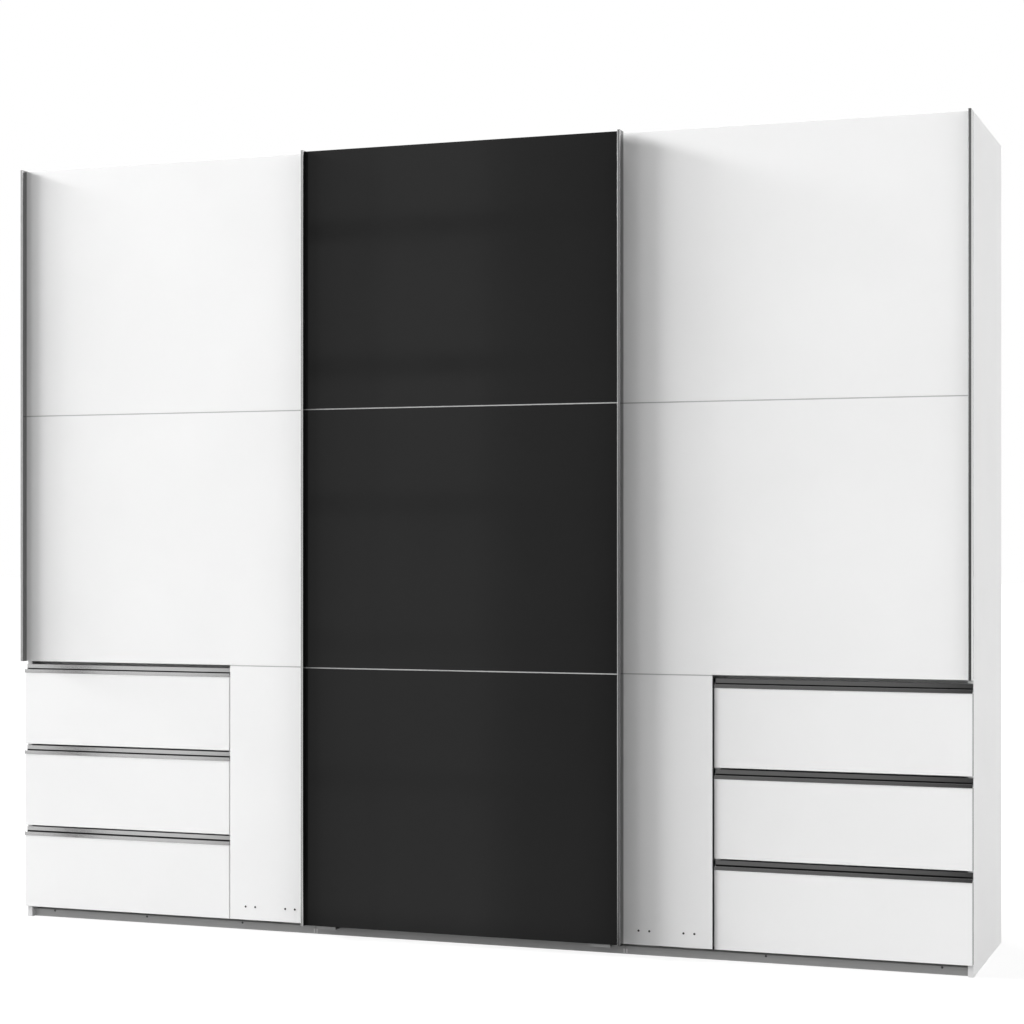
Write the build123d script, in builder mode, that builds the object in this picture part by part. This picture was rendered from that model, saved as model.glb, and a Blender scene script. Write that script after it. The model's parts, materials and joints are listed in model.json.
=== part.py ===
"""Three-door sliding wardrobe with outside drawers, in millimetres, +Z up.

The origin is on the floor under the middle of the whole wardrobe, and the doors look along -Y.
The two outer doors are L-shaped and share one track. The centre door runs on a second track in
front of them. Three drawers fill each lower outer corner.
"""
import os

from build123d import *

os.makedirs("parts", exist_ok=True)

# Carcass
carcass_width = 2970
carcass_height = 2360
carcass_depth = 570
board = 16
edge_radius = 1
drawer_partition_x = 768
panel_setback = 2
bottom_height = 40
top_recess = 70
seat_play = 0.1

# Back panels in their grooves
back_sheet = 3
groove_inset = 10
groove_depth = 4
groove_play = 0.3

# Shelves and clothes rails
hat_shelf_drop = 340
hat_shelf_setback = 60
middle_shelf_setback = 60
clothes_rail_drop = 60
clothes_rail_radius = 12.5
clothes_rail_wall = 1.5
socket_flange_radius = 20
socket_flange = 3
socket_cup = 12
socket_wall = 2.5
socket_play = 0.2

# Doors
door_gap = 7
door_board = 16
passing_gap = 13
backboard = 12
glass = 4
door_bottom = 36.5
door_edge_radius = 0.5
door_top_drop = 2
centre_top_drop = 0.5
centre_door_width = 1000
door_overlap = 20
travel_reveal = 35
joint_bar = 3
joint_flange = 28
joint_flange_gauge = 1.5
stiffener_width = 28
stiffener_gauge = 4
stiffener_inset = 12
stiffener_margin = 30

# Grip strips on the door edges
grip_width = 9
outer_grip_proud = 22
centre_grip_proud = 18
grip_round = 2
grip_groove_width = 2.4
grip_groove_depth = 1.4

# Top track, hangers and rollers
track_setback = 4
track_base = 3
track_depth = 90
rib_width = 4
rib_height = 12
front_rib = 20
rear_rib = 70
wheel_radius = 16
wheel_width = 10
wheel_groove_depth = 2.5
wheel_groove_width = 6.8
wheel_groove_root = 5.2
running_gap = 0.3
axle_radius = 3
axle_head_radius = 5
axle_head = 2
wheel_side_gap = 1
hanger_gauge = 3
hanger_width = 50
hanger_drop = 150
hanger_bend = 2.4
axle_margin = 9
outer_hanger_drop = 13
arm_clearance = 1.5
outer_hanger_inset = 100
inner_hanger_inset = 80
centre_hanger_inset = 100
stop_length = 24
stop_width = 16
stop_height = 32

# Floor guide rail and door guides
guide_rail_setback = 18
guide_wall = 2
guide_channel = 12
guide_rail_height = 23
guide_joint_x = 490
guide_joint_gap = 1
guide_width = 60
guide_gauge = 3
guide_plate_height = 75
guide_tongue = 8
guide_tongue_lift = 6
centre_arm_height = 25
outer_arm_height = 32
outer_guide_inset = 69.4
inner_guide_inset = 76
centre_guide_inset = 70

# Drawers
drawer_count = 3
drawer_bottom = 35.5
drawer_gap = 6
drawer_top_gap = 10.5
drawer_edge_gap = 0.5
drawer_side_gap = 4
drawer_board = 16
drawer_front_gap = 2
narrow_reveal = 1.6
box_board = 12
box_height = 170
box_depth = 480
box_lift = 31
box_play = 3
box_floor = 5
box_floor_lift = 10
box_groove_depth = 5
box_groove_play = 0.4
runner_thickness = 9
runner_height = 14
runner_length = 470
runner_setback = 24
runner_lift = 80
runner_groove_depth = 7
runner_play = 0.3

# Drawer handle strips
handle_wall = 2
handle_lip = 10.5
handle_lip_proud = 1.5
handle_rise = 26
handle_tongue = 8
handle_seat_play = 0.2
handle_corner = 3
handle_round = 0.8

# Places that follow from the sizes
half = carcass_width / 2
inner_wall = half - board
partition_x = centre_door_width / 2
partition_outer = partition_x + board / 2
partition_inner = partition_x - board / 2
bay_wall = drawer_partition_x + board / 2
door_stack = door_gap + door_board + passing_gap + backboard + glass + centre_grip_proud
front = door_stack - (carcass_depth + door_stack) / 2
back = front + carcass_depth
groove_back = back - groove_inset
groove_front = groove_back - back_sheet - groove_play
shelf_front = front + panel_setback
top_surface = carcass_height - top_recess
bottom_top = bottom_height + board
hat_shelf_height = top_surface - hat_shelf_drop

outer_back = front - door_gap
outer_face = outer_back - door_board
centre_back = outer_face - passing_gap
glass_back = centre_back - backboard
centre_face = glass_back - glass
door_top = carcass_height - door_top_drop
centre_top = carcass_height - centre_top_drop
centre_edge = centre_door_width / 2
outer_inner_edge = centre_edge - door_overlap
door_travel = half - travel_reveal - centre_edge
narrow_edge = drawer_partition_x - board / 2 - narrow_reveal
field_height = (door_top - door_bottom - 2 * joint_bar) / 3
lower_joint = door_bottom + field_height
upper_joint = lower_joint + joint_bar + field_height
lower_joint_top = lower_joint + joint_bar
upper_joint_top = upper_joint + joint_bar
stiffener_near = outer_inner_edge + stiffener_inset
stiffener_far = stiffener_near + stiffener_width
stiffener_front = outer_back + joint_flange_gauge + seat_play

rib_top = top_surface + track_base + rib_height
wheel_root = wheel_radius - wheel_groove_depth
axle_height = rib_top + running_gap + wheel_root
arm_bottom = door_top + arm_clearance
outer_hanger_top = door_top - outer_hanger_drop
hanger_bottom = outer_hanger_top - hanger_drop
outer_hanger_x = (half - outer_hanger_inset, outer_inner_edge + inner_hanger_inset)
centre_hanger_x = centre_edge - centre_hanger_inset

guide_rail_front = front + guide_rail_setback
front_channel = guide_rail_front + guide_wall + guide_channel / 2
rear_channel = front_channel + guide_channel + guide_wall
guide_rail_back = rear_channel + guide_channel / 2 + guide_wall
plinth_back = guide_rail_back + board
outer_guide_x = (narrow_edge - outer_guide_inset, outer_inner_edge + inner_guide_inset)
centre_guide_x = centre_edge - centre_guide_inset

drawer_pitch = (lower_joint_top - drawer_top_gap - drawer_bottom + drawer_gap) / drawer_count
drawer_front_height = drawer_pitch - drawer_gap - handle_rise
drawer_back_face = front - drawer_front_gap
drawer_face = drawer_back_face - drawer_board
drawer_inner_edge = narrow_edge + drawer_side_gap
drawer_outer_edge = half - drawer_edge_gap

compartments = (
    (-inner_wall, -partition_outer),
    (-partition_inner, partition_inner),
    (partition_outer, inner_wall),
)
sides = ((-1, "left"), (1, "right"))


def block(x_ends, y_ends, z_ends, mode=Mode.ADD):
    """A square-edged board between two places on each axis, in the part that is being built."""
    ends = (x_ends, y_ends, z_ends)
    middle = [(low + high) / 2 for low, high in ends]
    with Locations(tuple(middle)):
        Box(*[abs(high - low) for low, high in ends], mode=mode)


def soften_front(part, radius):
    """Round the vertical edges of a board's front, as its edge band does."""
    fillet(part.edges().filter_by(Axis.Z).group_by(Axis.Y)[0], radius)


def save(piece, name):
    piece.part.label = name
    export_step(piece.part, f"parts/{name}.step")


# Side panels, each with a groove for the back sheet
for side, name in sides:
    with BuildPart() as side_panel:
        block((side * inner_wall, side * half), (front, back), (0, carcass_height))
        soften_front(side_panel, edge_radius)
        block(
            (side * inner_wall, side * (inner_wall + groove_depth)),
            (groove_front, groove_back),
            (0, carcass_height),
            mode=Mode.SUBTRACT,
        )
    save(side_panel, f"{name}_side")

# Partitions, notched over the plinth and the floor guide rail
for side, name in sides:
    with BuildPart() as partition:
        with BuildSketch(Plane.YZ.offset(side * partition_x - board / 2)):
            with BuildLine():
                Polyline(
                    (shelf_front, bottom_height),
                    (shelf_front, top_surface),
                    (back, top_surface),
                    (back, 0),
                    (plinth_back, 0),
                    (plinth_back, bottom_height),
                    close=True,
                )
            make_face()
        extrude(amount=board)
        soften_front(partition, edge_radius)
        for face_side in (-1, 1):
            face = side * partition_x + face_side * board / 2
            block(
                (face, face - face_side * groove_depth),
                (groove_front, groove_back),
                (0, top_surface),
                mode=Mode.SUBTRACT,
            )
    save(partition, f"{name}_partition")

# Drawer bay walls and the shelf above each bay
for side, name in sides:
    with BuildPart() as bay_partition:
        block(
            (side * (bay_wall - board), side * bay_wall),
            (shelf_front, groove_front),
            (bottom_top, lower_joint_top - board),
        )
        soften_front(bay_partition, edge_radius)
    save(bay_partition, f"{name}_drawer_partition")

    with BuildPart() as middle_shelf:
        block(
            (side * partition_outer, side * inner_wall),
            (front + middle_shelf_setback, groove_front),
            (lower_joint_top - board, lower_joint_top),
        )
        fillet(middle_shelf.edges().filter_by(Axis.X).group_by(Axis.Y)[0], edge_radius)
    save(middle_shelf, f"{name}_middle_shelf")

# Top and bottom panels, one for each compartment
with BuildPart() as top_panels:
    for ends in compartments:
        block(ends, (shelf_front, groove_front), (top_surface - board, top_surface))
save(top_panels, "top_panels")

with BuildPart() as bottom_panels:
    for ends in compartments:
        block(ends, (shelf_front, groove_front), (bottom_height, bottom_top))
    fillet(bottom_panels.edges().filter_by(Axis.X).group_by(Axis.Y)[0], edge_radius)
save(bottom_panels, "bottom_panels")

# Hat shelves
hat_shelf_ends = (hat_shelf_height, hat_shelf_height + board)
with BuildPart() as hat_shelves:
    for ends in compartments:
        block(ends, (front + hat_shelf_setback, groove_front), hat_shelf_ends)
    fillet(hat_shelves.edges().filter_by(Axis.X).group_by(Axis.Y)[0], edge_radius)
save(hat_shelves, "hat_shelves")

# Back sheets, held in the grooves
sheet_reach = groove_depth - groove_play
with BuildPart() as back_panels:
    for low, high in compartments:
        block(
            (low - sheet_reach, high + sheet_reach),
            (groove_front + groove_play / 2, groove_back - groove_play / 2),
            (bottom_height, top_surface),
        )
save(back_panels, "back_panels")

# Clothes rails and the cupped sockets that hold their ends
rail_y = (front + hat_shelf_setback + groove_front) / 2
rail_z = hat_shelf_height - clothes_rail_drop
with BuildPart() as clothes_rails:
    for low, high in compartments:
        with BuildSketch(Plane.YZ.offset(low + socket_flange)):
            with Locations((rail_y, rail_z)):
                Circle(clothes_rail_radius)
                Circle(clothes_rail_radius - clothes_rail_wall, mode=Mode.SUBTRACT)
        extrude(amount=high - low - 2 * socket_flange)
save(clothes_rails, "clothes_rails")

cup_inside = clothes_rail_radius + socket_play
with BuildPart() as rail_sockets:
    for low, high in compartments:
        for wall, inward in ((low, 1), (high, -1)):
            with BuildSketch(Plane.YZ.offset(wall)):
                with Locations((rail_y, rail_z)):
                    Circle(socket_flange_radius)
            extrude(amount=inward * socket_flange)
            with BuildSketch(Plane.YZ.offset(wall + inward * socket_flange)):
                with Locations((rail_y, rail_z)):
                    Circle(cup_inside + socket_wall)
                    Circle(cup_inside, mode=Mode.SUBTRACT)
            extrude(amount=inward * socket_cup)
save(rail_sockets, "rail_sockets")

# Plinth boards behind the floor guide rail
joint_near = guide_joint_x - guide_joint_gap / 2
joint_far = guide_joint_x + guide_joint_gap / 2
guide_segments = (
    (-inner_wall, -joint_far),
    (-joint_near, joint_near),
    (joint_far, inner_wall),
)
with BuildPart() as plinth_boards:
    for ends in guide_segments:
        block(ends, (guide_rail_back, plinth_back), (0, bottom_height))
save(plinth_boards, "plinth_boards")

# Floor guide rail, a two-channel profile in three lengths
with BuildPart() as guide_rails:
    for low, high in guide_segments:
        with BuildSketch(Plane.YZ.offset(low)):
            with BuildLine():
                Polyline(
                    (guide_rail_front, 0),
                    (guide_rail_front, guide_rail_height),
                    (guide_rail_back, guide_rail_height),
                    (guide_rail_back, 0),
                    close=True,
                )
            make_face()
            for channel in (front_channel, rear_channel):
                with Locations((channel, guide_wall + guide_rail_height / 2)):
                    Rectangle(guide_channel, guide_rail_height, mode=Mode.SUBTRACT)
        extrude(amount=high - low)
save(guide_rails, "guide_rails")

# Top track: a base plate that carries two round-topped running ribs
track_front = front + track_setback
rib_places = (front + front_rib, front + rear_rib)
rib_foot = top_surface + track_base + seat_play
rib_crown = rib_top - rib_width / 2
with BuildPart() as top_track:
    with BuildSketch(Plane.YZ.offset(-inner_wall)):
        with Locations((track_front + track_depth / 2, top_surface + track_base / 2)):
            Rectangle(track_depth, track_base)
        for rib in rib_places:
            with Locations((rib, (rib_foot + rib_crown) / 2)):
                Rectangle(rib_width, rib_crown - rib_foot)
            with Locations((rib, rib_crown)):
                Circle(rib_width / 2)
    extrude(amount=2 * inner_wall)
save(top_track, "top_track")

# End stops that straddle the ribs where a hanger's travel ends
stop_places = (
    (rib_places[0], outer_hanger_x[0]),
    (rib_places[1], centre_hanger_x + door_travel),
)
slot_width = rib_width + 2 * running_gap
track_top = top_surface + track_base
with BuildPart() as track_stops:
    for side in (-1, 1):
        for rib, hanger_x in stop_places:
            near = hanger_x + hanger_width / 2 + running_gap
            stop_ends = (side * near, side * (near + stop_length))
            block(
                stop_ends,
                (rib - stop_width / 2, rib + stop_width / 2),
                (track_top, track_top + stop_height),
            )
            block(
                stop_ends,
                (rib - slot_width / 2, rib + slot_width / 2),
                (track_top, rib_top + running_gap),
                mode=Mode.SUBTRACT,
            )
save(track_stops, "track_stops")


def grip_strip(outer_x, inward, front_y, back_y, z_ends):
    """An edge strip that stands proud of the door, with a groove down its rounded front."""
    middle_x = outer_x + inward * grip_width / 2
    with BuildSketch(Plane.XY.offset(z_ends[0])) as section:
        with Locations((middle_x, (front_y + back_y) / 2)):
            Rectangle(grip_width, back_y - front_y)
        front_corners = section.vertices().group_by(Axis.Y)[0]
        fillet(front_corners, grip_round)
        with Locations((middle_x, front_y)):
            Rectangle(grip_groove_width, 2 * grip_groove_depth, mode=Mode.SUBTRACT)
    extrude(section.sketch, amount=z_ends[1] - z_ends[0])


def hanger(x, door_y, rib_y, top):
    """A bent plate from the back of a door over to its roller, with the roller's axle."""
    plate_back = rib_y - wheel_width / 2 - wheel_side_gap
    plate_front = plate_back - hanger_gauge
    with BuildSketch(Plane.YZ.offset(x - hanger_width / 2)) as bent_plate:
        with BuildLine():
            Polyline(
                (door_y, hanger_bottom),
                (door_y, top),
                (plate_back, top),
                (plate_back, axle_height - axle_margin),
                (plate_front, axle_height - axle_margin),
                (plate_front, top - hanger_gauge),
                (door_y + hanger_gauge, top - hanger_gauge),
                (door_y + hanger_gauge, hanger_bottom),
                close=True,
            )
        make_face()
        outer_bends = bent_plate.vertices().group_by(Axis.Y)[-1]
        fillet(outer_bends, hanger_bend)
    extrude(bent_plate.sketch, amount=hanger_width)
    axle_end = rib_y + wheel_width / 2 + wheel_side_gap
    axle_plane = Plane(origin=(x, plate_back, axle_height), x_dir=(1, 0, 0), z_dir=(0, 1, 0))
    with BuildSketch(axle_plane) as axle:
        Circle(axle_radius)
    extrude(axle.sketch, amount=axle_end - plate_back)
    with BuildSketch(axle_plane.offset(axle_end - plate_back)) as head:
        Circle(axle_head_radius)
    extrude(head.sketch, amount=axle_head)


def guide(x, door_y, channel_y, arm_height):
    """A door guide: a plate on the door's back, an arm and a tongue down into a channel."""
    tongue_back = channel_y + guide_tongue / 2
    tongue_front = channel_y - guide_tongue / 2
    with BuildSketch(Plane.YZ.offset(x - guide_width / 2)) as section:
        with BuildLine():
            Polyline(
                (door_y, arm_height),
                (door_y, door_bottom + guide_plate_height),
                (door_y + guide_gauge, door_bottom + guide_plate_height),
                (door_y + guide_gauge, arm_height + guide_gauge),
                (tongue_back, arm_height + guide_gauge),
                (tongue_back, guide_tongue_lift),
                (tongue_front, guide_tongue_lift),
                (tongue_front, arm_height),
                close=True,
            )
        make_face()
    extrude(section.sketch, amount=guide_width)


def roller(x, rib_y, name):
    """A grooved wheel that runs on a rib of the top track."""
    bore = axle_radius + running_gap
    section = Plane(origin=(x, rib_y, axle_height), x_dir=(0, 1, 0), z_dir=(1, 0, 0))
    with BuildPart() as wheel:
        with BuildSketch(section):
            with BuildLine():
                Polyline(
                    (-wheel_width / 2, bore),
                    (-wheel_width / 2, wheel_radius),
                    (-wheel_groove_width / 2, wheel_radius),
                    (-wheel_groove_root / 2, wheel_root),
                    (wheel_groove_root / 2, wheel_root),
                    (wheel_groove_width / 2, wheel_radius),
                    (wheel_width / 2, wheel_radius),
                    (wheel_width / 2, bore),
                    close=True,
                )
            make_face()
        revolve(axis=Axis((x, rib_y, axle_height), (0, 1, 0)))
    save(wheel, name)


# Outer doors: three boards each, joined by T-bars and one upright bar
board_edge = half - grip_width
for side, name in sides:
    fields = (
        (narrow_edge, door_bottom, lower_joint),
        (board_edge, lower_joint_top, upper_joint),
        (board_edge, upper_joint_top, door_top),
    )
    with BuildPart() as door_panels:
        for edge, low, high in fields:
            block((side * outer_inner_edge, side * edge), (outer_face, outer_back), (low, high))
        fillet(door_panels.faces().group_by(Axis.Y)[0].edges(), door_edge_radius)
    save(door_panels, f"{name}_door_panels")

    with BuildPart() as joint_bars:
        for edge, low in ((narrow_edge, lower_joint), (board_edge, upper_joint)):
            block(
                (side * outer_inner_edge, side * edge),
                (outer_face, outer_back),
                (low, low + joint_bar),
            )
            middle = low + joint_bar / 2
            block(
                (side * outer_inner_edge, side * edge),
                (outer_back, outer_back + joint_flange_gauge),
                (middle - joint_flange / 2, middle + joint_flange / 2),
            )
        block(
            (side * stiffener_near, side * stiffener_far),
            (stiffener_front, stiffener_front + stiffener_gauge),
            (door_bottom + stiffener_margin, door_top - stiffener_margin),
        )
    save(joint_bars, f"{name}_door_bars")

    with BuildPart() as grip:
        grip_front = outer_face - outer_grip_proud
        grip_strip(side * half, -side, grip_front, outer_back, (lower_joint_top, carcass_height))
    save(grip, f"{name}_door_grip")

    with BuildPart() as hangers:
        for hanger_x in outer_hanger_x:
            hanger(side * hanger_x, outer_back, rib_places[0], outer_hanger_top)
    save(hangers, f"{name}_door_hangers")

    with BuildPart() as guides:
        for guide_x in outer_guide_x:
            guide(side * guide_x, outer_back, rear_channel, outer_arm_height)
    save(guides, f"{name}_door_guides")

    for number, hanger_x in enumerate(outer_hanger_x, start=1):
        roller(side * hanger_x, rib_places[0], f"{name}_door_roller_{number}")

# Centre door: three glass panes on one backboard, with a grip strip on both edges
pane_edge = centre_edge - grip_width
with BuildPart() as centre_backboard:
    block((-pane_edge, pane_edge), (glass_back, centre_back), (door_bottom, centre_top))
save(centre_backboard, "centre_door_backboard")

pane_heights = (
    (door_bottom, lower_joint),
    (lower_joint_top, upper_joint),
    (upper_joint_top, centre_top),
)
with BuildPart() as panes:
    for heights in pane_heights:
        block((-pane_edge, pane_edge), (centre_face, glass_back), heights)
save(panes, "centre_door_panes")

with BuildPart() as pane_bars:
    for low in (lower_joint, upper_joint):
        block((-pane_edge, pane_edge), (centre_face, glass_back), (low, low + joint_bar))
save(pane_bars, "centre_door_bars")

with BuildPart() as centre_grips:
    for side in (-1, 1):
        grip_front = centre_face - centre_grip_proud
        grip_strip(side * centre_edge, -side, grip_front, centre_back, (door_bottom, carcass_height))
save(centre_grips, "centre_door_grips")

with BuildPart() as centre_hangers:
    for side in (-1, 1):
        hanger(side * centre_hanger_x, centre_back, rib_places[1], arm_bottom + hanger_gauge)
save(centre_hangers, "centre_door_hangers")

with BuildPart() as centre_guides:
    for side in (-1, 1):
        guide(side * centre_guide_x, centre_back, front_channel, centre_arm_height)
save(centre_guides, "centre_door_guides")

for number, side in ((1, -1), (2, 1)):
    roller(side * centre_hanger_x, rib_places[1], f"centre_door_roller_{number}")

# Drawer runners on the walls of both bays
box_bottoms = [drawer_bottom + level * drawer_pitch + box_lift for level in range(drawer_count)]
with BuildPart() as drawer_runners:
    for side in (-1, 1):
        for box_bottom in box_bottoms:
            runner_bottom = box_bottom + runner_lift
            for wall, inward in ((inner_wall, -1), (bay_wall, 1)):
                block(
                    (side * wall, side * (wall + inward * runner_thickness)),
                    (front + runner_setback, front + runner_setback + runner_length),
                    (runner_bottom, runner_bottom + runner_height),
                )
save(drawer_runners, "drawer_runners")

# Drawers: a front, its handle strip and a grooved box
tongue_y = drawer_face + drawer_board / 2
seat_width = handle_wall + 2 * handle_seat_play
box_back = drawer_back_face + box_depth
box_inner_face = drawer_back_face + box_board
box_outer = inner_wall - box_play
box_inner = bay_wall + box_play


def handle_profile(board_top):
    """The J section of a handle strip: tongue, front lip, finger channel and high web."""
    web_y = drawer_back_face - handle_wall
    lip_front = drawer_face - handle_lip_proud
    lip_back = lip_front + handle_wall
    with BuildSketch(Plane.YZ.offset(drawer_inner_edge)) as section:
        with BuildLine():
            Polyline(
                (tongue_y - handle_wall / 2, board_top),
                (lip_front, board_top),
                (lip_front, board_top + handle_lip),
                (lip_back, board_top + handle_lip),
                (lip_back, board_top + handle_wall),
                (web_y, board_top + handle_wall),
                (web_y, board_top + handle_rise),
                (drawer_back_face, board_top + handle_rise),
                (drawer_back_face, board_top),
                (tongue_y + handle_wall / 2, board_top),
                (tongue_y + handle_wall / 2, board_top - handle_tongue),
                (tongue_y - handle_wall / 2, board_top - handle_tongue),
                close=True,
            )
        make_face()
        channel_corners = section.vertices().group_by(Axis.Y)[2]
        fillet(channel_corners, handle_corner)
        lip_tips, web_tips = section.vertices().group_by(Axis.Y)[-2:]
        fillet([*lip_tips, *web_tips], handle_round)
    return section.sketch


for side, name in sides:
    for level, box_bottom in enumerate(box_bottoms):
        drawer = f"{name}_drawer_{level + 1}"
        front_bottom = drawer_bottom + level * drawer_pitch
        board_top = front_bottom + drawer_front_height
        front_ends = (side * drawer_inner_edge, side * drawer_outer_edge)

        with BuildPart() as drawer_front:
            block(front_ends, (drawer_face, drawer_back_face), (front_bottom, board_top))
            soften_front(drawer_front, edge_radius)
            block(
                front_ends,
                (tongue_y - seat_width / 2, tongue_y + seat_width / 2),
                (board_top - handle_tongue - handle_seat_play, board_top),
                mode=Mode.SUBTRACT,
            )
        save(drawer_front, f"{drawer}_front")

        with BuildPart() as handle:
            extrude(handle_profile(board_top), amount=drawer_outer_edge - drawer_inner_edge)
            if side < 0:
                mirror(about=Plane.YZ, mode=Mode.REPLACE)
        save(handle, f"{drawer}_handle")

        box_top = box_bottom + box_height
        floor_bottom = box_bottom + box_floor_lift
        floor_top = floor_bottom + box_floor
        groove_bottom = box_bottom + runner_lift - runner_play
        groove_top = box_bottom + runner_lift + runner_height + runner_play
        with BuildPart() as box:
            for face, inward in ((box_outer, -1), (box_inner, 1)):
                inside = face + inward * box_board
                block(
                    (side * face, side * inside),
                    (drawer_back_face, box_back),
                    (box_bottom, box_top),
                )
                block(
                    (side * face, side * (face + inward * runner_groove_depth)),
                    (box_inner_face, box_back),
                    (groove_bottom, groove_top),
                    mode=Mode.SUBTRACT,
                )
                block(
                    (side * inside, side * (inside - inward * box_groove_depth)),
                    (box_inner_face, box_back),
                    (floor_bottom - box_groove_play / 2, floor_top + box_groove_play / 2),
                    mode=Mode.SUBTRACT,
                )
            end_inset = box_board + seat_play
            between = (side * (box_inner + end_inset), side * (box_outer - end_inset))
            block(between, (drawer_back_face, box_inner_face), (box_bottom, box_top))
            block(between, (box_back - box_board, box_back), (floor_top + seat_play, box_top))
            floor_reach = box_board - box_groove_depth + box_groove_play
            block(
                (side * (box_inner + floor_reach), side * (box_outer - floor_reach)),
                (box_inner_face + seat_play, box_back),
                (floor_bottom, floor_top),
            )
        save(box, f"{drawer}_box")
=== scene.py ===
"""Looks of the sliding door wardrobe: finishes, small fasteners, light and camera, in metres."""
import json
import math

import bmesh
import bpy
from mathutils import Matrix, Vector


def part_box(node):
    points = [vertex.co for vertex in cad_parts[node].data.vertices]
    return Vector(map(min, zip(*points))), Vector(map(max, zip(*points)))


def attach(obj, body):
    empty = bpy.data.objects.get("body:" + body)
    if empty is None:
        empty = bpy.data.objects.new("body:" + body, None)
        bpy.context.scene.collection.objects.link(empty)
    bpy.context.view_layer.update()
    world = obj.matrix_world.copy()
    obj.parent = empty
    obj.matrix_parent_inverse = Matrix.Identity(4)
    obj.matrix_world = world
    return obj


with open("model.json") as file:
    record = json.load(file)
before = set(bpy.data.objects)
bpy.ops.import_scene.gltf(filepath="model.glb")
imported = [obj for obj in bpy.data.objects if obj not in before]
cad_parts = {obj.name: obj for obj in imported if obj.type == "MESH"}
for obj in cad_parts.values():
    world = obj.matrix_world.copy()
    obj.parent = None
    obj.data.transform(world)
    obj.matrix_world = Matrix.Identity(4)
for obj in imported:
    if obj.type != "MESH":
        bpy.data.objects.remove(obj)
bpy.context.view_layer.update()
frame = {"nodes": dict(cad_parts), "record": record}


# Finishes

def material(name):
    """A new node material with its tree and its shader."""
    made = bpy.data.materials.new(name)
    made.use_nodes = True
    return made, made.node_tree, made.node_tree.nodes["Principled BSDF"]


# Ends of the noise's usual range, for tones and for roughness
tone_ends = (0.35, 0.65)
gloss_ends = (0.3, 0.7)


def noise(tree, scale, stretch=(1, 1, 1), detail=4):
    """Noise fixed to the object, with stretch as the scale along each axis."""
    place = tree.nodes.new("ShaderNodeTexCoord")
    mapping = tree.nodes.new("ShaderNodeMapping")
    mapping.inputs["Scale"].default_value = stretch
    texture = tree.nodes.new("ShaderNodeTexNoise")
    texture.inputs["Scale"].default_value = scale
    texture.inputs["Detail"].default_value = detail
    tree.links.new(place.outputs["Object"], mapping.inputs["Vector"])
    tree.links.new(mapping.outputs["Vector"], texture.inputs["Vector"])
    return texture.outputs["Fac"]


def tones(tree, factor, dark, light):
    """Colour that wanders between two tones."""
    ramp = tree.nodes.new("ShaderNodeValToRGB")
    ramp.color_ramp.elements[0].position = tone_ends[0]
    ramp.color_ramp.elements[1].position = tone_ends[1]
    ramp.color_ramp.elements[0].color = (*dark, 1)
    ramp.color_ramp.elements[1].color = (*light, 1)
    tree.links.new(factor, ramp.inputs["Fac"])
    return ramp.outputs["Color"]


def tint(tree, shader, factor, dark, light):
    """Base colour that wanders between two tones."""
    tree.links.new(tones(tree, factor, dark, light), shader.inputs["Base Color"])


def gloss(tree, shader, factor, low, high):
    """Roughness that wanders between two values."""
    spread = tree.nodes.new("ShaderNodeMapRange")
    spread.inputs["From Min"].default_value = gloss_ends[0]
    spread.inputs["From Max"].default_value = gloss_ends[1]
    spread.inputs["To Min"].default_value = low
    spread.inputs["To Max"].default_value = high
    tree.links.new(factor, spread.inputs["Value"])
    tree.links.new(spread.outputs["Result"], shader.inputs["Roughness"])


def relief(tree, shader, factor, strength, depth):
    """Fine relief from a pattern."""
    bump = tree.nodes.new("ShaderNodeBump")
    bump.inputs["Strength"].default_value = strength
    bump.inputs["Distance"].default_value = depth
    tree.links.new(factor, bump.inputs["Height"])
    tree.links.new(bump.outputs["Normal"], shader.inputs["Normal"])


def melamine(name, dark, light):
    """Melamine-faced board: even colour, satin, with a fine pearled surface."""
    made, tree, shader = material(name)
    tint(tree, shader, noise(tree, scale=3), dark, light)
    gloss(tree, shader, noise(tree, scale=40), low=0.42, high=0.5)
    relief(tree, shader, noise(tree, scale=900, detail=2), strength=0.12, depth=0.0002)
    return made


# Noise scales of the lines that drawing and brushing leave on metal
line_tone_scale = 12
line_gloss_scale = 30
line_relief_scale = 60


def brushed(name, dark, light, stretch, low, high):
    """Metal with a fine brushed or drawn line along one axis."""
    made, tree, shader = material(name)
    shader.inputs["Metallic"].default_value = 1
    tint(tree, shader, noise(tree, line_tone_scale, stretch), dark, light)
    gloss(tree, shader, noise(tree, line_gloss_scale, stretch), low, high)
    relief(tree, shader, noise(tree, line_relief_scale, stretch, detail=2), strength=0.15, depth=0.0001)
    return made


def coated(name, dark, light, stretch, low, high):
    """Metal profile under a silver or grey paint coat, with its drawn lines still showing."""
    made, tree, shader = material(name)
    tint(tree, shader, noise(tree, line_tone_scale, stretch), dark, light)
    gloss(tree, shader, noise(tree, line_gloss_scale, stretch), low, high)
    relief(tree, shader, noise(tree, line_relief_scale, stretch, detail=2), strength=0.1, depth=0.0001)
    return made


def moulded(name, dark, light, low, high):
    """Moulded plastic or rubber with a fine spark-eroded grain."""
    made, tree, shader = material(name)
    tint(tree, shader, noise(tree, scale=18), dark, light)
    gloss(tree, shader, noise(tree, scale=90), low, high)
    relief(tree, shader, noise(tree, scale=1400, detail=2), strength=0.25, depth=0.0001)
    return made


def grey(value):
    """A neutral colour."""
    return (value, value, value)


# Stretch of the noise that leaves lines along an axis, or none
along_x = (1, 60, 60)
along_z = (60, 60, 1)
even = (1, 1, 1)

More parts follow.
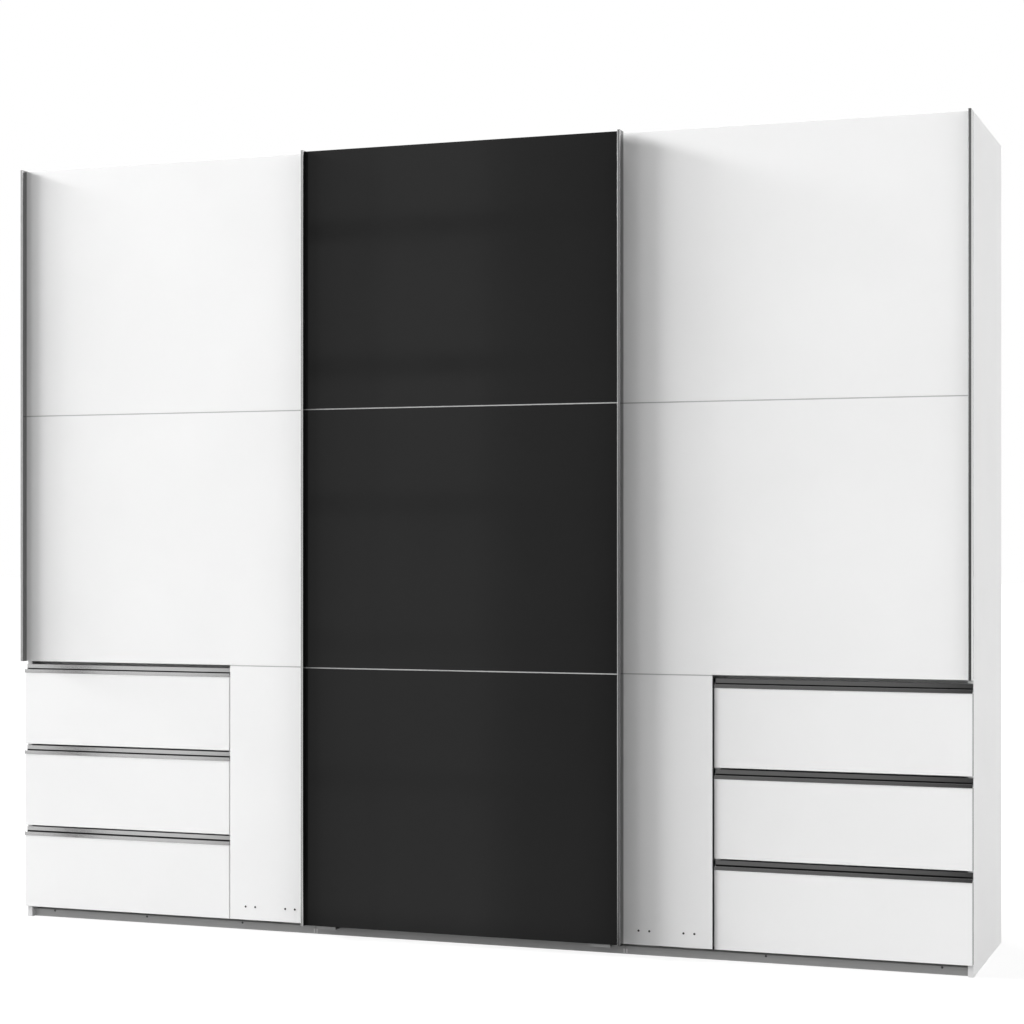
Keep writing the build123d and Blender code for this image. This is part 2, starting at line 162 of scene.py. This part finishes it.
white_board = melamine("white_board", grey(0.885), grey(0.905))
grey_board = melamine("grey_board", grey(0.085), grey(0.1))
level_aluminium = brushed("level_aluminium", grey(0.47), grey(0.52), along_x, low=0.1, high=0.15)
steel = brushed("steel", grey(0.52), grey(0.6), even, low=0.3, high=0.45)
chrome = brushed("chrome", grey(0.74), grey(0.8), along_x, low=0.06, high=0.12)
silver_coat = coated("silver_coat", grey(0.44), grey(0.48), along_x, low=0.36, high=0.44)
# Near-black coat for the drawer end bands, a painted shadow of the gap beside them
shadow_gap_coat = coated("shadow_gap_coat", grey(0.08), grey(0.1), along_z, low=0.4, high=0.5)
dark_coat = coated("dark_coat", grey(0.38), grey(0.42), along_x, low=0.4, high=0.5)
grey_plastic = moulded("grey_plastic", grey(0.38), grey(0.43), low=0.45, high=0.6)
black_plastic = moulded("black_plastic", grey(0.025), grey(0.04), low=0.4, high=0.55)
runner_plastic = moulded("runner_plastic", grey(0.62), grey(0.68), low=0.4, high=0.55)
rubber = moulded("rubber", grey(0.02), grey(0.03), low=0.7, high=0.85)

# Black glass, very slightly wavy
black_glass, tree, shader = material("black_glass")
tint(tree, shader, noise(tree, scale=2), grey(0.0138), grey(0.0152))
gloss(tree, shader, noise(tree, scale=5), low=0.06, high=0.11)
relief(tree, shader, noise(tree, scale=1.6, detail=1), strength=0.05, depth=0.004)
shader.inputs["Specular IOR Level"].default_value = 0.2


def facing(tree, axis, start, end):
    """Rises from zero to one as the surface's normal goes from start to end along an axis."""
    geometry = tree.nodes.new("ShaderNodeNewGeometry")
    parts = tree.nodes.new("ShaderNodeSeparateXYZ")
    turn = tree.nodes.new("ShaderNodeMapRange")
    turn.inputs["From Min"].default_value = start
    turn.inputs["From Max"].default_value = end
    tree.links.new(geometry.outputs["True Normal"], parts.inputs["Vector"])
    tree.links.new(parts.outputs[axis], turn.inputs["Value"])
    return turn.outputs["Result"]


def product(tree, first, second):
    """Two values multiplied."""
    both = tree.nodes.new("ShaderNodeMath")
    both.operation = "MULTIPLY"
    tree.links.new(first, both.inputs[0])
    tree.links.new(second, both.inputs[1])
    return both.outputs["Value"]


def blend(tree, factor, before, after):
    """Colour that goes from one to another with the factor."""
    mix = tree.nodes.new("ShaderNodeMix")
    mix.data_type = "RGBA"
    tree.links.new(factor, mix.inputs["Factor"])
    for socket, colour in (("A", before), ("B", after)):
        tree.links.new(colour, mix.inputs[socket])
    return mix.outputs["Result"]


# Where a strip's tones change: its normal along Y for the flanks, which carry painted shade, and along X
# for the inner side and for the start and end of the painted shadow line on the outer corner
flank_turn = (-0.7, -0.2)
inner_turn = (0.01, -0.01)
shadow_line_start = (0.3, 0.6)
shadow_line_end = (0.99, 0.95)


def strip_metal(name, dark, light, rim, outer=0):
    """Grip strip with a bright brushed front and flanks in two darker tones, which are painted shade.

    A strip with an outer side, +1 or -1 along X, keeps that flank bright and has a dark corner there, a
    painted shadow line.
    """
    made, tree, shader = material(name)
    shader.inputs["Metallic"].default_value = 1
    shader.inputs["Specular Tint"].default_value = (*grey(rim), 1)
    lines = noise(tree, line_tone_scale, along_z)
    polished = tones(tree, lines, grey(0.65), grey(0.71))
    # Painted shade: the flanks take darker tones than the front
    flank_shade = tones(tree, lines, dark, light)
    shade_mask = facing(tree, "Y", *flank_turn)
    if outer:
        # Painted shadow line: a near-black tone along the outer corner
        corner = tones(tree, lines, grey(0.1), grey(0.13))
        limits = (inner_turn, shadow_line_start, shadow_line_end)
        inner, opened, closed = (facing(tree, "X", start * outer, end * outer) for start, end in limits)
        shade_mask = product(tree, shade_mask, inner)
        polished = blend(tree, product(tree, opened, closed), polished, corner)
    tree.links.new(blend(tree, shade_mask, polished, flank_shade), shader.inputs["Base Color"])
    gloss(tree, shader, noise(tree, line_gloss_scale, along_z), low=0.14, high=0.22)
    relief(tree, shader, noise(tree, line_relief_scale, along_z, detail=2), strength=0.15, depth=0.0001)
    return made


# Grip strip metals, with painted shade on their flanks
upright_aluminium = strip_metal("upright_aluminium", grey(0.4), grey(0.44), rim=0.5)
left_strip = strip_metal("left_strip", grey(0.32), grey(0.36), rim=0.8, outer=-1)
right_strip = strip_metal("right_strip", grey(0.32), grey(0.36), rim=0.8, outer=1)

# Back sheet: white lacquer inside, bare brown fibreboard outside
back_sheet, tree, shader = material("back_sheet")
fibre = noise(tree, scale=260, detail=6)
lacquer = tones(tree, fibre, grey(0.85), grey(0.87))
bare = tones(tree, fibre, (0.2, 0.128, 0.075), (0.27, 0.18, 0.11))
rear = facing(tree, "Y", start=0.4, end=0.6)
tree.links.new(blend(tree, rear, lacquer, bare), shader.inputs["Base Color"])
gloss(tree, shader, fibre, low=0.5, high=0.7)
relief(tree, shader, fibre, strength=0.2, depth=0.0002)

finishes = {
    "white_board": white_board,
    "grey_board": grey_board,
    "black_glass": black_glass,
    "aluminium": level_aluminium,
    "dark_aluminium": dark_coat,
    "steel": steel,
    "chrome": chrome,
    "grey_plastic": grey_plastic,
    "runner_plastic": runner_plastic,
    "rubber": rubber,
}
special = {
    "back_panels": back_sheet,
    "left_door_grip": left_strip,
    "right_door_grip": right_strip,
    "centre_door_grips": upright_aluminium,
}
for node in frame["nodes"]:
    if node.endswith("_bars"):
        special[node] = silver_coat
slots = {entry["node"]: entry["material_slot"] for entry in frame["record"]["subparts"]}
for node, shown in frame["nodes"].items():
    shown.data.materials.clear()
    shown.data.materials.append(special.get(node, finishes[slots[node]]))


# Small pieces, with a list of those that the light of the inside reaches
inner_pieces = []


def piece(name, mesh, body, finish):
    """A new piece that rides on a body."""
    data = bpy.data.meshes.new(name)
    mesh.to_mesh(data)
    mesh.free()
    made = bpy.data.objects.new(name, data)
    bpy.context.collection.objects.link(made)
    data.materials.append(finish)
    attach(made, body)
    if finish is steel or body == "carcass":
        inner_pieces.append(made)


def screw_head(mesh, centre, normal, radius):
    """A flat screw head with a cross recess, facing along normal."""
    rim = 0.1 * radius
    height = 0.16 * radius
    arm = 0.62 * radius
    half = 0.14 * radius
    draft = 0.8
    recess_floor = 0.1 * height
    turn = Vector(normal).to_track_quat("Z", "Y").to_matrix().to_4x4()
    place = Matrix.Translation(centre) @ turn
    count = 20
    low = []
    high = []
    for step in range(count):
        angle = 2 * math.pi * step / count
        across = Vector((math.cos(angle), math.sin(angle), 0))
        low.append(mesh.verts.new(place @ (across * radius)))
        high.append(mesh.verts.new(place @ (across * (radius - rim) + Vector((0, 0, height)))))
    for step in range(count):
        after = (step + 1) % count
        mesh.faces.new((low[step], low[after], high[after], high[step]))
    outline = (
        (half, half), (half, arm), (-half, arm), (-half, half), (-arm, half), (-arm, -half),
        (-half, -half), (-half, -arm), (half, -arm), (half, -half), (arm, -half), (arm, half),
    )
    lip = [mesh.verts.new(place @ Vector((x, y, height))) for x, y in outline]
    floor = [mesh.verts.new(place @ Vector((draft * x, draft * y, recess_floor))) for x, y in outline]
    edges = []
    for ring in (high, lip):
        for step, vert in enumerate(ring):
            pair = (vert, ring[(step + 1) % len(ring)])
            edges.append(mesh.edges.get(pair) or mesh.edges.new(pair))
    bmesh.ops.triangle_fill(mesh, use_beauty=True, edges=edges, normal=turn @ Vector((0, 0, 1)))
    for step in range(len(lip)):
        after = (step + 1) % len(lip)
        mesh.faces.new((lip[step], floor[step], floor[after], lip[after]))
    mesh.faces.new(floor)


sides = ((-1, "left"), (1, "right"))
drawers = {f"{name}_drawer_{number}": side for side, name in sides for number in (1, 2, 3)}

# Screws of the door guides, showing in pairs on the narrow fields
guide_screw_x = (0.541, 0.573, 0.6738, 0.7058)
guide_screw_z = 0.0765
guide_screw_radius = 0.0032
for side, name in sides:
    face_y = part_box(f"{name}_door_panels")[0][1]
    heads = bmesh.new()
    for x in guide_screw_x:
        screw_head(heads, (side * x, face_y, guide_screw_z), (0, -1, 0), guide_screw_radius)
    piece(f"{name}_guide_screws", heads, f"{name}_door", black_plastic)

# Screws that hold the hangers to the backs of the doors
hanger_gauge = 0.003
hanger_screw_x = (-0.014, 0.014)
hanger_screw_rise = (0.02, 0.065)
hanger_screw_radius = 0.004
for body in ("left_door", "centre_door", "right_door"):
    foot_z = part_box(f"{body}_hangers")[0][2]
    wheels = [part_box(f"{body}_roller_{number}") for number in (1, 2)]
    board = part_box("centre_door_backboard" if body == "centre_door" else f"{body}_panels")
    plate_y = board[1][1] + hanger_gauge
    heads = bmesh.new()
    for near, far in wheels:
        middle = (near[0] + far[0]) / 2
        for across in hanger_screw_x:
            for rise in hanger_screw_rise:
                screw_head(heads, (middle + across, plate_y, foot_z + rise), (0, 1, 0), hanger_screw_radius)
    piece(f"{body}_hanger_screws", heads, body, steel)

# Screws along the top track, between its ribs
track_base = 0.003
track_screw_setback = 0.041
track_screw_count = 9
track_screw_inset = 0.12
track_screw_radius = 0.004
low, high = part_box("top_track")
track_screw_y = low[1] + track_screw_setback
track_screw_z = low[2] + track_base
track_screw_pitch = (high[0] - low[0] - 2 * track_screw_inset) / (track_screw_count - 1)
heads = bmesh.new()
for step in range(track_screw_count):
    x = low[0] + track_screw_inset + step * track_screw_pitch
    screw_head(heads, (x, track_screw_y, track_screw_z), (0, 0, 1), track_screw_radius)
piece("top_track_screws", heads, "carcass", steel)

# Walls of the three compartments, each with the direction that it looks in
walls = []
for first, second in (
    ("left_side", "left_partition"),
    ("left_partition", "right_partition"),
    ("right_partition", "right_side"),
):
    walls.append((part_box(first)[1][0], 1))
    walls.append((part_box(second)[0][0], -1))

# Three screws in the flange of each clothes rail socket
socket_flange = 0.003
socket_screw_ring = 0.0176
socket_screw_angles = (90, 210, 330)
socket_screw_radius = 0.0018
low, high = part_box("rail_sockets")
socket_y = (low[1] + high[1]) / 2
socket_z = (low[2] + high[2]) / 2
heads = bmesh.new()
for wall, inward in walls:
    for degrees in socket_screw_angles:
        angle = math.radians(degrees)
        y = socket_y + socket_screw_ring * math.cos(angle)
        z = socket_z + socket_screw_ring * math.sin(angle)
        screw_head(heads, (wall + inward * socket_flange, y, z), (inward, 0, 0), socket_screw_radius)
piece("rail_socket_screws", heads, "carcass", steel)


def shelf_pin(mesh, wall, inward, y, shelf_bottom):
    """A turned pin with a collar against the wall, under a shelf."""
    radius = 0.0025
    length = 0.009
    nose = 0.0005
    collar = 0.0045
    collar_width = 0.0015
    collar_chamfer = 0.0003
    profile = (
        (0, collar),
        (collar_width - collar_chamfer, collar),
        (collar_width, collar - collar_chamfer),
        (collar_width, radius),
        (length - nose, radius),
        (length, radius - nose),
    )
    count = 16
    rings = []
    for along, around in profile:
        ring = []
        for step in range(count):
            angle = 2 * math.pi * step / count
            z = min(shelf_bottom - radius + around * math.sin(angle), shelf_bottom)
            ring.append(mesh.verts.new((wall + inward * along, y + around * math.cos(angle), z)))
        rings.append(ring)
    for ring, beyond in zip(rings, rings[1:]):
        for step in range(count):
            after = (step + 1) % count
            mesh.faces.new((ring[step], ring[after], beyond[after], beyond[step]))
    mesh.faces.new(rings[-1])
    bmesh.ops.recalc_face_normals(mesh, faces=mesh.faces[:])


# Shelf pins, four under each shelf
pin_inset = 0.06
for shelf in ("hat_shelves", "left_middle_shelf", "right_middle_shelf"):
    low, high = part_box(shelf)
    ends = walls if shelf == "hat_shelves" else ((low[0], 1), (high[0], -1))
    pins = bmesh.new()
    for wall, inward in ends:
        for y in (low[1] + pin_inset, high[1] - pin_inset):
            shelf_pin(pins, wall, inward, y, low[2])
    piece(f"{shelf}_pins", pins, "carcass", steel)

# Screws through the box ends into the drawer fronts
box_board = 0.012
box_screw_x = (-0.24, 0.24)
box_screw_rise = (0.055, 0.13)
box_screw_radius = 0.0035
for drawer in drawers:
    low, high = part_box(f"{drawer}_box")
    middle = (low[0] + high[0]) / 2
    heads = bmesh.new()
    for across in box_screw_x:
        for rise in box_screw_rise:
            place = (middle + across, low[1] + box_board, low[2] + rise)
            screw_head(heads, place, (0, 1, 0), box_screw_radius)
    piece(f"{drawer}_box_screws", heads, drawer, steel)


def chamfered_bar(mesh, x_ends, y_ends, z_ends, chamfer):
    """A straight bar with all its edges broken."""
    made = bmesh.ops.create_cube(mesh, size=1)["verts"]
    for vert in made:
        for axis, (low, high) in enumerate((x_ends, y_ends, z_ends)):
            vert.co[axis] = high if vert.co[axis] > 0 else low
    edges = list({edge for vert in made for edge in vert.link_edges})
    bmesh.ops.bevel(mesh, geom=edges, offset=chamfer, segments=1, affect="EDGES")


# Screws of the guide rail, in the upper part of its front wall
rail_screw_x = (-1.397, -1.068, -0.737, 0.903, 1.397)
rail_screw_radius = 0.0034
rail_screw_margin = 0.0003
rail_low, rail_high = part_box("guide_rails")
rail_screw_z = rail_high[2] - rail_screw_radius - rail_screw_margin
heads = bmesh.new()
for x in rail_screw_x:
    screw_head(heads, (x, rail_low[1], rail_screw_z), (0, -1, 0), rail_screw_radius)
piece("guide_rail_screws", heads, "carcass", black_plastic)

# Light clips on the ends of the rail's three lengths, where they meet
rail_joint_x = 0.49
clip_start = 0.0015
clip_width = 0.005
clip_gauge = 0.0005
clip_chamfer = 0.0002
clip_bottom = 0.002
clip_top = 0.015
clip_y = (rail_low[1] - clip_gauge, rail_low[1])
clip_z = (rail_low[2] + clip_bottom, rail_low[2] + clip_top)
clips = bmesh.new()
for joint in (-rail_joint_x, rail_joint_x):
    for turn in (-1, 1):
        near = joint + turn * clip_start
        ends = sorted((near, near + turn * clip_width))
        chamfered_bar(clips, ends, clip_y, clip_z, clip_chamfer)
piece("guide_rail_clips", clips, "carcass", runner_plastic)

# Dark end caps on the grip strips
strip_width = 0.009
cap_height = 0.0008
cap_margin = 0.0004
cap_slope = 0.001


def end_cap(mesh, x_ends, y_ends, z_ends):
    """A cap with a narrower rim than its foot."""
    shoulder = (z_ends[0] + 2 * z_ends[1]) / 3
    rings = []
    for inset, z in ((0, z_ends[0]), (0, shoulder), (cap_slope, z_ends[1])):
        corners = (
            (x_ends[0] + inset, y_ends[0] + inset),
            (x_ends[1] - inset, y_ends[0] + inset),
            (x_ends[1] - inset, y_ends[1] - inset),
            (x_ends[0] + inset, y_ends[1] - inset),
        )
        rings.append([mesh.verts.new((x, y, z)) for x, y in corners])
    for below, above in zip(rings, rings[1:]):
        for step in range(4):
            after = (step + 1) % 4
            mesh.faces.new((below[step], below[after], above[after], above[step]))
    mesh.faces.new(reversed(rings[0]))
    mesh.faces.new(rings[-1])


for body, strips in (
    ("left_door", ("left_door_grip",)),
    ("right_door", ("right_door_grip",)),
    ("centre_door", ("centre_door_grips", "centre_door_grips")),
):
    caps = bmesh.new()
    for index, strip in enumerate(strips):
        low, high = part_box(strip)
        start = low[0] if index == 0 else high[0] - strip_width
        end_cap(
            caps,
            (start + cap_margin, start + strip_width - cap_margin),
            (low[1] + cap_margin, high[1] - cap_margin),
            (high[2], high[2] + cap_height),
        )
    piece(f"{body}_strip_caps", caps, body, black_plastic)

# Dark metal edge bands on the free edges of the narrow fields, in the strips' metal whose flank tone is
# painted shade
band_gauge = 0.0004
band_chamfer = 0.0001
field_gap = 0.004
field_joint = 0.003
field_band_setback = 0.0006
for side, name in sides:
    low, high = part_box(f"{name}_door_panels")
    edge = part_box(f"{name}_drawer_1_front")
    start = edge[0][0] - field_gap if side > 0 else edge[1][0] + field_gap
    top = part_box(f"{name}_middle_shelf")[1][2] - field_joint
    band = bmesh.new()
    ends = sorted((start, start + side * band_gauge))
    chamfered_bar(band, ends, (low[1] + field_band_setback, high[1]), (low[2], top), band_chamfer)
    piece(f"{name}_field_edge_band", band, f"{name}_door", upright_aluminium)

# Dark bands on the outer ends of the drawer fronts, a painted shadow of the gap to the side panels
drawer_band_setback = 0.0012
for drawer, side in drawers.items():
    low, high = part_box(f"{drawer}_front")
    start = high[0] if side > 0 else low[0]
    band = bmesh.new()
    ends = sorted((start, start + side * band_gauge))
    chamfered_bar(band, ends, (low[1] + drawer_band_setback, high[1]), (low[2], high[2]), band_chamfer)
    piece(f"{drawer}_edge_band", band, drawer, shadow_gap_coat)

# Black pads along the webs of the drawer handles, a painted shade line above the lips
handle_wall = 0.002
pad_inset = 0.001
pad_gauge = 0.0008
pad_bottom = 0.021
pad_top = 0.0125
pad_chamfer = 0.0002
for drawer in drawers:
    low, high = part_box(f"{drawer}_handle")
    web = high[1] - handle_wall
    pad = bmesh.new()
    chamfered_bar(
        pad,
        (low[0] + pad_inset, high[0] - pad_inset),
        (web - pad_gauge, web),
        (high[2] - pad_bottom, high[2] - pad_top),
        pad_chamfer,
    )
    piece(f"{drawer}_shade_pad", pad, drawer, rubber)


# Stage, light and camera

def stage_mesh(name, points, faces, finish):
    """A piece of the stage."""
    data = bpy.data.meshes.new(name)
    data.from_pydata(points, [], faces)
    data.materials.append(finish)
    made = bpy.data.objects.new(name, data)
    bpy.context.collection.objects.link(made)
    return made


def background_rays(tree):
    """One for the rays that see the background straight, mirrored or through glass, not for light."""
    path = tree.nodes.new("ShaderNodeLightPath")
    found = path.outputs["Is Camera Ray"]
    for ray in ("Is Glossy Ray", "Is Transmission Ray"):
        either = tree.nodes.new("ShaderNodeMath")
        either.operation = "MAXIMUM"
        tree.links.new(found, either.inputs[0])
        tree.links.new(path.outputs[ray], either.inputs[1])
        found = either.outputs["Value"]
    seen = tree.nodes.new("ShaderNodeMath")
    seen.operation = "LESS_THAN"
    seen.inputs[1].default_value = 0.5
    tree.links.new(path.outputs["Diffuse Depth"], seen.inputs[0])
    return product(tree, found, seen.outputs["Value"])


# White floor that keeps a faint shadow
floor_finish, tree, shader = material("floor")
shader.inputs["Base Color"].default_value = (*grey(0.2), 1)
shader.inputs["Roughness"].default_value = 0.9
lit = tree.nodes.new("ShaderNodeBsdfDiffuse")
lit.inputs["Color"].default_value = (*grey(0.16), 1)
glow = tree.nodes.new("ShaderNodeEmission")
glow.inputs["Strength"].default_value = 0.88
paper = tree.nodes.new("ShaderNodeAddShader")
mix = tree.nodes.new("ShaderNodeMixShader")
tree.links.new(lit.outputs["BSDF"], paper.inputs[0])
tree.links.new(glow.outputs["Emission"], paper.inputs[1])
tree.links.new(background_rays(tree), mix.inputs["Fac"])
tree.links.new(shader.outputs["BSDF"], mix.inputs[1])
tree.links.new(paper.outputs["Shader"], mix.inputs[2])
tree.links.new(mix.outputs["Shader"], tree.nodes["Material Output"].inputs["Surface"])
floor_reach = 60
floor_corners = [
    (-floor_reach, -floor_reach, 0),
    (floor_reach, -floor_reach, 0),
    (floor_reach, floor_reach, 0),
    (-floor_reach, floor_reach, 0),
]
floor = stage_mesh("floor", floor_corners, [(0, 1, 2, 3)], floor_finish)

# Screen in front that only reflections see: a pale wall on the left with one dark stand before it, a
# window with glazing bars in the middle and a dark wall on the right
eye = Vector((2.3545, -6.3781, 1.1822))
door_plane = -0.3
# Columns: where each shows on the doors, its level below eye height and above it, and the share
# of the level that is left in the glazing bars
screen_columns = (
    (-3.0, 1.06, 1.06, 1),
    (-1.385, 1.06, 1.06, 1),
    (-1.345, 0.1, 0.1, 1),
    (-1.295, 0.1, 0.1, 1),
    (-1.255, 1.06, 1.06, 1),
    (-0.87, 1.04, 1.04, 1),
    (-0.77, 0.68, 0.68, 1),
    (-0.52, 0.78, 0.78, 0.9),
    (-0.46, 0.78, 0.78, 0.5),
    (-0.28, 0.84, 0.82, 0.5),
    (-0.265, 0.7, 0.64, 0.5),
    (-0.245, 0.86, 0.95, 0.5),
    (0.06, 0.84, 0.92, 0.5),
    (0.1, 0.68, 0.7, 0.6),
    (0.2, 0.46, 0.52, 0.8),
    (0.38, 0.37, 0.4, 0.9),
    (0.48, 0.15, 0.25, 1),
    (0.53, 0.12, 0.24, 1),
    (0.6, 0.22, 0.4, 1),
    (1.2, 0.22, 0.36, 1),
    (1.42, 0.15, 0.3, 1),
    (1.5, 0.06, 0.14, 1),
    (6.0, 0.06, 0.14, 1),
    (40.0, 0.06, 0.14, 1),
)
screen_far = 2.3
screen_lift = 0.002
screen_top = 6.0
eye_band = (1.28, 1.55)
shade_reach = 0.55
shade_level = 0.45
# Glazing bars: height of each and how much of it shows
glazing_bars = ((0.218, 0.35), (0.7815, 0.25), (1.345, 0.5), (1.9085, 0.8), (2.472, 0.8))
bar_half = 0.03
bar_soft = 0.025
# Rows: distance before the doors, height, share of the level, how much of a glazing bar
screen_rows = [
    (0, screen_lift, shade_level, 0),
    (shade_reach, screen_lift, 1, 0),
    (screen_far, screen_lift, 1, 0),
]
for height, depth in glazing_bars:
    for offset, bar in (
        (-bar_half - bar_soft, 0),
        (-bar_half, depth),
        (bar_half, depth),
        (bar_half + bar_soft, 0),
    ):
        screen_rows.append((screen_far, height + offset, 1, bar))
screen_rows.append((screen_far, screen_top, 1, 0))
points = []
levels = []
for ahead, height, share, bar in screen_rows:
    upper = min(max((height - eye_band[0]) / (eye_band[1] - eye_band[0]), 0), 1)
    for x, low_glow, high_glow, bar_share in screen_columns:
        fan = (x - eye.x) * ahead / (door_plane - eye.y)
        points.append((x + fan, door_plane - ahead, height))
        open_level = share * (low_glow + upper * (high_glow - low_glow))
        levels.append(open_level * (1 - bar * (1 - bar_share)))
row_length = len(screen_columns)
faces = []
for row in range(len(screen_rows) - 1):
    for column in range(row_length - 1):
        corner = row * row_length + column
        faces.append((corner, corner + 1, corner + 1 + row_length, corner + row_length))
screen_finish, tree = material("screen")[:2]
level = tree.nodes.new("ShaderNodeAttribute")
level.attribute_name = "level"
glow = tree.nodes.new("ShaderNodeEmission")
tree.links.new(product(tree, level.outputs["Fac"], background_rays(tree)), glow.inputs["Strength"])
tree.links.new(glow.outputs["Emission"], tree.nodes["Material Output"].inputs["Surface"])
screen = stage_mesh("screen", points, faces, screen_finish)
screen.data.attributes.new("level", "FLOAT", "POINT").data.foreach_set("value", levels)
screen.visible_camera = False
screen.visible_diffuse = False
screen.visible_transmission = False
screen.visible_shadow = False

# White studio for what looks at it, and a weak fill for light
world = bpy.data.worlds.new("studio")
bpy.context.scene.world = world
world.use_nodes = True
tree = world.node_tree
fill = tree.nodes["Background"]
fill.inputs["Color"].default_value = (*grey(1), 1)
fill.inputs["Strength"].default_value = 0.15
white = tree.nodes.new("ShaderNodeBackground")
white.inputs["Color"].default_value = (*grey(1), 1)
white.inputs["Strength"].default_value = 1
mix = tree.nodes.new("ShaderNodeMixShader")
tree.links.new(background_rays(tree), mix.inputs["Fac"])
tree.links.new(fill.outputs["Background"], mix.inputs[1])
tree.links.new(white.outputs["Background"], mix.inputs[2])
tree.links.new(mix.outputs["Shader"], tree.nodes["World Output"].inputs["Surface"])


def soft_sun(name, towards, strength, spread_degrees):
    """An even, soft light from far away, in the direction given from the object."""
    data = bpy.data.lights.new(name, "SUN")
    data.energy = strength
    data.angle = math.radians(spread_degrees)
    lamp = bpy.data.objects.new(name, data)
    bpy.context.collection.objects.link(lamp)
    lamp.rotation_euler = Vector(towards).to_track_quat("Z", "Y").to_euler()
    return lamp


# Lamps for the fronts and the floor alone, so that walls that face them squarely stay even
grazing = (
    soft_sun("grazing_lowest", (-0.949, -0.058, 0.309), 1.3, 6),
    soft_sun("grazing_low", (-0.946, -0.098, 0.307), 4.6, 11),
    soft_sun("grazing_middle", (-0.909, -0.292, 0.295), 3.3, 20),
    soft_sun("grazing_high", (-0.77, -0.588, 0.25), 0.72, 40),
    soft_sun("front_right", (0.76, -0.6, 0.2), 0.62, 70),
    soft_sun("grazing_right", (0.93, -0.33, 0.15), 0.5, 30),
)
# Lamp for the carcass, the running gear and the insides, then two lamps for everything
inside = soft_sun("inside", (-0.15, -0.87, 0.46), 2.3, 85)
soft_sun("right", (0.9, 0.32, 0.3), 1.57, 40)
soft_sun("rear_left", (-0.6, 0.65, 0.45), 2, 40)

fronts = bpy.data.collections.new("fronts")
others = bpy.data.collections.new("others")
for node, shown in frame["nodes"].items():
    if node.endswith(("_door_panels", "_front", "_panes", "_bars")):
        fronts.objects.link(shown)
    elif not node.endswith(("_grip", "_grips", "_handle")):
        others.objects.link(shown)
for shown in inner_pieces:
    others.objects.link(shown)
fronts.objects.link(floor)
for lamp in grazing:
    lamp.light_linking.receiver_collection = fronts
inside.light_linking.receiver_collection = others

# Camera, as solved from the photograph's edges
camera_heading = 19.797
camera_data = bpy.data.cameras.new("camera")
camera_data.sensor_width = 36
camera_data.lens = 78.23
camera_data.shift_y = 0.03095
camera = bpy.data.objects.new("camera", camera_data)
bpy.context.collection.objects.link(camera)
camera.location = eye
camera.rotation_euler = (math.radians(90), 0, math.radians(camera_heading))
bpy.context.scene.camera = camera
bpy.context.scene.view_settings.view_transform = "Standard"
